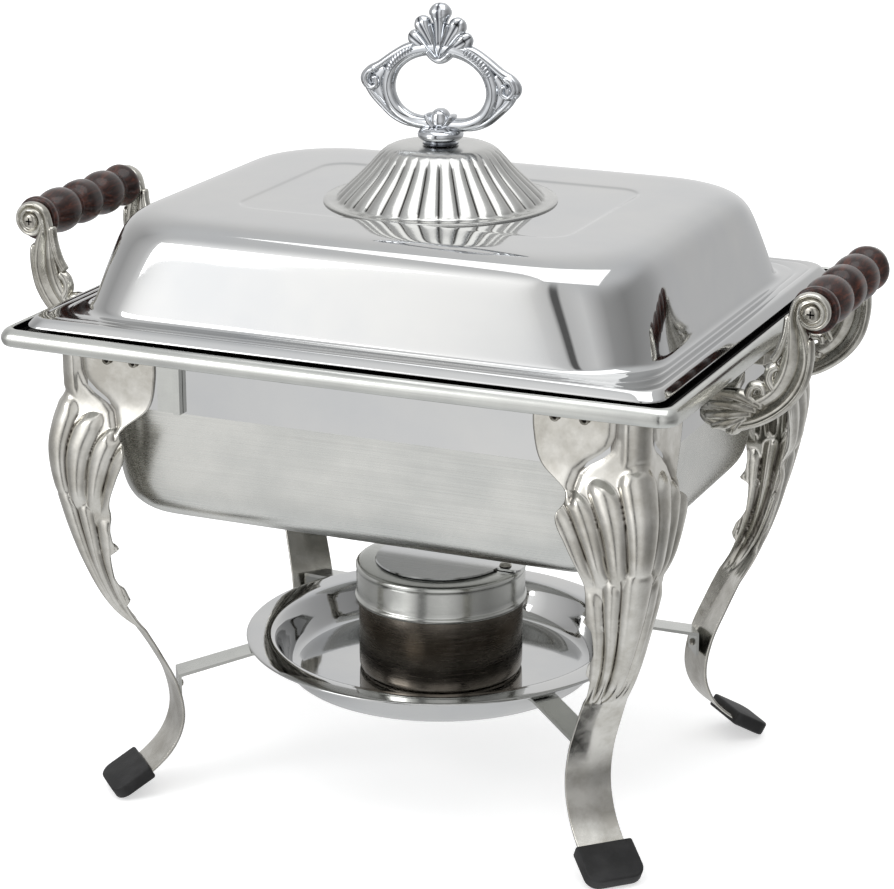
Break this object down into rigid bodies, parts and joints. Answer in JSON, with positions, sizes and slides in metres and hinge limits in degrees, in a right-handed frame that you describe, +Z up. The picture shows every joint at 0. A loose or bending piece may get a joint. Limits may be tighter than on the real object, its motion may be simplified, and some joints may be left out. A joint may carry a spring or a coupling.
{
  "type": "chafing dish",
  "caption": "Half-size fuel-heated chafing dish: polished domed lid with ring handle, nested pans, fluted scroll-leg stand, wood-grip side handles, tray and fuel holder.",
  "frame": {"origin": "centre of the four feet on the table surface", "axes": "+X along the long front towards the right hand side handle, -Y out of the front, +Z up"},
  "size_m": [0.4542, 0.2994, 0.4152],
  "materials": {
    "polished_sheet": "mirror-polished stainless sheet",
    "satin_sheet": "satin stainless sheet with a fine brushed grain",
    "stamped_leg": "semi-bright stamped steel sheet",
    "fastener": "plain bright steel rivet and screw",
    "casting": "plated casting, semi-bright",
    "chrome_casting": "bright chrome-plated casting",
    "cup_sheet": "dark brushed steel sheet",
    "turned_wood": "turned, dark red-brown stain, gloss lacquer",
    "rubber_foot": "matte black rubber"
  },
  "bodies": {
    "stand": {"frame_rim": "satin_sheet", "apron_front": "polished_sheet", "apron_back": "polished_sheet", "apron_left": "polished_sheet", "apron_right": "polished_sheet", "apron_strap_front": "satin_sheet", "apron_strap_back": "satin_sheet", "leg_front_left": "stamped_leg", "leg_front_right": "stamped_leg", "leg_back_left": "stamped_leg", "leg_back_right": "stamped_leg", "foot_cap_front_left": "rubber_foot", "foot_cap_front_right": "rubber_foot", "foot_cap_back_left": "rubber_foot", "foot_cap_back_right": "rubber_foot", "leg_rivet_front_left_inner": "fastener", "leg_rivet_front_left_outer": "fastener", "leg_rivet_front_left_side": "fastener", "leg_rivet_front_right_inner": "fastener", "leg_rivet_front_right_outer": "fastener", "leg_rivet_front_right_side": "fastener", "leg_rivet_back_left_inner": "fastener", "leg_rivet_back_left_outer": "fastener", "leg_rivet_back_left_side": "fastener", "leg_rivet_back_right_inner": "fastener", "leg_rivet_back_right_outer": "fastener", "leg_rivet_back_right_side": "fastener", "burner_tray": "polished_sheet", "brace_front_left": "satin_sheet", "brace_rivet_front_left": "fastener", "brace_front_right": "satin_sheet", "brace_rivet_front_right": "fastener", "brace_back_left": "satin_sheet", "brace_rivet_back_left": "fastener", "brace_back_right": "satin_sheet", "brace_rivet_back_right": "fastener", "handle_bracket_front_left": "casting", "grip_screw_front_left": "fastener", "handle_bracket_front_right": "casting", "grip_screw_front_right": "fastener", "handle_bracket_back_left": "casting", "grip_screw_back_left": "fastener", "handle_bracket_back_right": "casting", "grip_screw_back_right": "fastener", "grip_left": "turned_wood", "grip_right": "turned_wood"},
    "water_pan": {"water_pan": "satin_sheet"},
    "food_pan": {"food_pan": "satin_sheet"},
    "lid": {"lid_cover": "polished_sheet", "lid_dome": "polished_sheet", "lid_collar": "chrome_casting", "ring_handle": "chrome_casting", "lid_screw": "fastener", "lid_washer": "fastener"},
    "fuel_holder": {"fuel_cup": "cup_sheet"},
    "fuel_cover": {"fuel_cover": "polished_sheet", "snuffer_pivot": "fastener"},
    "snuffer": {"snuffer_disc": "polished_sheet"}
  },
  "joints": [
    {"name": "water_pan_lift", "type": "slide", "parent": "stand", "child": "water_pan", "axis": [0, 0, 1], "range_m": [0, 0.13]},
    {"name": "food_pan_lift", "type": "slide", "parent": "water_pan", "child": "food_pan", "axis": [0, 0, 1], "range_m": [0, 0.1]},
    {"name": "lid_lift", "type": "slide", "parent": "food_pan", "child": "lid", "axis": [0, 0, 1], "range_m": [0, 0.15]},
    {"name": "fuel_holder_lift", "type": "slide", "parent": "stand", "child": "fuel_holder", "axis": [0, 0, 1], "range_m": [0, 0.03]},
    {"name": "fuel_cover_lift", "type": "slide", "parent": "fuel_holder", "child": "fuel_cover", "axis": [0, 0, 1], "range_m": [0, 0.028]},
    {"name": "snuffer_swivel", "type": "hinge", "parent": "fuel_cover", "child": "snuffer", "pos_m": [0.0375, 0, 0.117], "axis": [0, 0, 1], "range_deg": [0, 100]}
  ]
}
